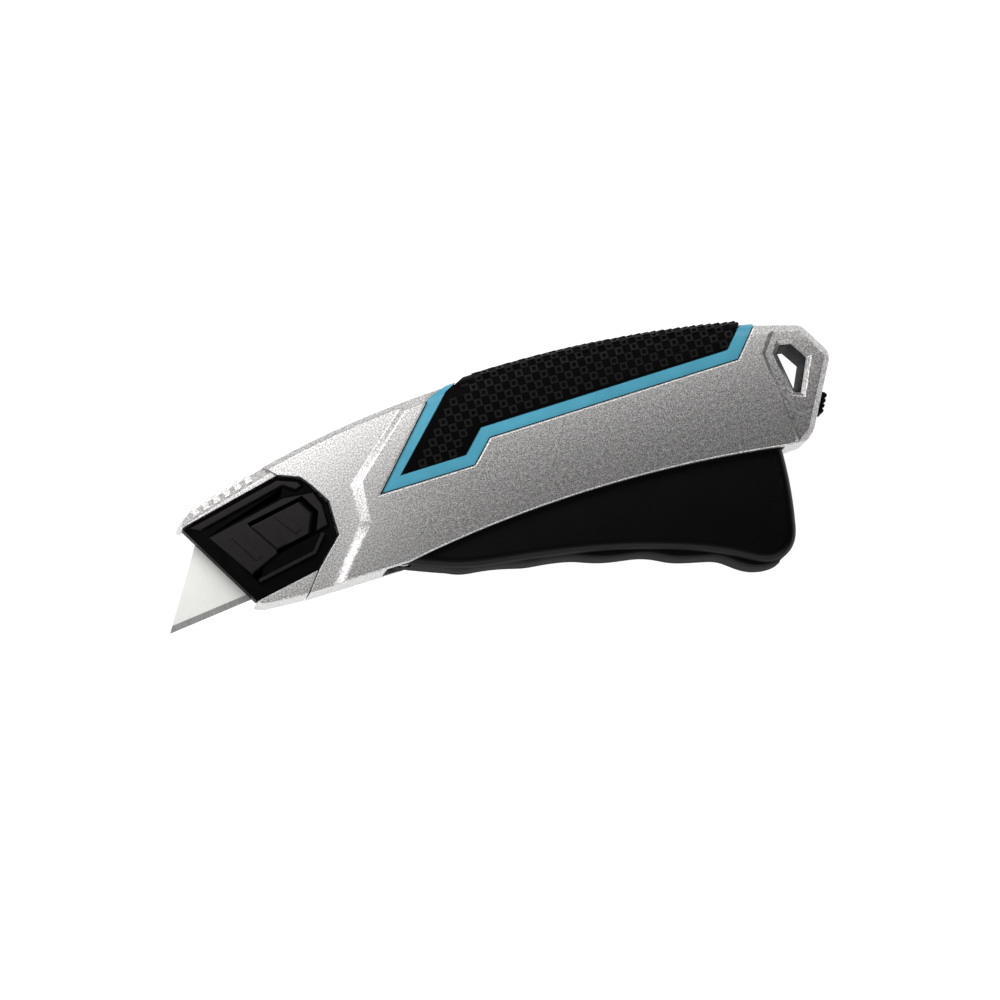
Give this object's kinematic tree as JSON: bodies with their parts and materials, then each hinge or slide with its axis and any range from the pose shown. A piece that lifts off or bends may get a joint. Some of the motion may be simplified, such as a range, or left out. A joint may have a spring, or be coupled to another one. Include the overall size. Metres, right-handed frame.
{
  "type": "utility knife",
  "caption": "Squeeze-handle utility knife: a hinged lever drives a trapezoid blade out of a casing that opens at the nose, with a tail lock and lanyard eye.",
  "frame": {"origin": "on the right side panel, in the middle of the handle", "axes": "+X from the nose to the tail, +Y from the lever to the spine, +Z from the right side to the left side, through the thickness"},
  "size_m": [0.165, 0.0633, 0.018],
  "materials": {
    "casing_silver": "silver metallic lacquer over a die-cast shell",
    "chin_silver": "silver metallic lacquer over a die-cast piece",
    "stripe_blue": "satin sky-blue moulding",
    "grip_rubber": "matt, moulded with small square rings",
    "cover_black": "satin black moulding",
    "lever_black": "satin black moulding",
    "slider_black": "satin black moulding",
    "liner_black": "glossy black sleeve",
    "blade_steel": "satin with a ground edge",
    "carriage_zinc": "stamped and formed",
    "track_steel": "pressed sheet",
    "pin_steel": "turned",
    "screw_steel": "zinc plated",
    "spring_steel": "drawn wire",
    "magnet_nickel": "nickel plated",
    "bumper_rubber": "matt"
  },
  "bodies": {
    "handle": {"left_casing": "casing_silver", "right_casing": "casing_silver", "grip_carrier": "stripe_blue", "grip_pad": "grip_rubber", "thumb_rest": "casing_silver", "chin_guard": "chin_silver", "nose_pins": "pin_steel", "right_blade_cover": "cover_black", "carriage_track": "track_steel", "track_screws": "screw_steel", "end_bumper": "bumper_rubber", "rocker_stud": "pin_steel", "lever_pivot_pin": "pin_steel", "lever_spring": "spring_steel", "carriage_spring": "spring_steel", "lanyard_liner": "liner_black", "casing_screws": "screw_steel"},
    "lever": {"squeeze_lever": "lever_black"},
    "rocker": {"drive_rocker": "track_steel", "drive_pin": "pin_steel", "lever_link_pin": "pin_steel"},
    "carriage": {"blade_carriage": "carriage_zinc", "blade_magnet": "magnet_nickel", "cutting_blade": "blade_steel"},
    "cover": {"left_blade_cover": "cover_black"},
    "latch": {"cover_latch": "cover_black"},
    "lock": {"lock_slider": "slider_black"}
  },
  "joints": [
    {"name": "lever_hinge", "type": "hinge", "parent": "handle", "child": "lever", "pos_m": [-0.051, -0.0105, 0.009], "axis": [0, 0, -1], "range_deg": [0, 9.5], "stiffness_Nm_per_rad": 2.5, "springref_deg": 21.2, "deforming": ["lever_spring"]},
    {"name": "rocker_turn", "type": "hinge", "parent": "handle", "child": "rocker", "pos_m": [-0.006, -0.008, 0.012], "axis": [0, 0, -1], "range_deg": [0, 75.6]},
    {"name": "carriage_slide", "type": "slide", "parent": "handle", "child": "carriage", "axis": [0.9952, 0.0976, 0], "range_m": [0, 0.02451], "deforming": ["carriage_spring"]},
    {"name": "cover_slide", "type": "slide", "parent": "handle", "child": "cover", "axis": [-0.981, -0.1942, 0], "range_m": [0, 0.01]},
    {"name": "latch_press", "type": "hinge", "parent": "cover", "child": "latch", "pos_m": [-0.0812, 0.0015, 0.0137], "axis": [-0.5201, 0.8541, 0], "range_deg": [0, 5], "stiffness_Nm_per_rad": 0.05},
    {"name": "lock_slide", "type": "slide", "parent": "handle", "child": "lock", "axis": [-0.5059, -0.8626, 0], "range_m": [0, 0.0035]}
  ],
  "couplings": [
    {"joint": "rocker_turn", "follows": "lever_hinge", "ratio": 7.9516},
    {"joint": "carriage_slide", "follows": "lever_hinge", "m_per_rad": 0.14776}
  ]
}
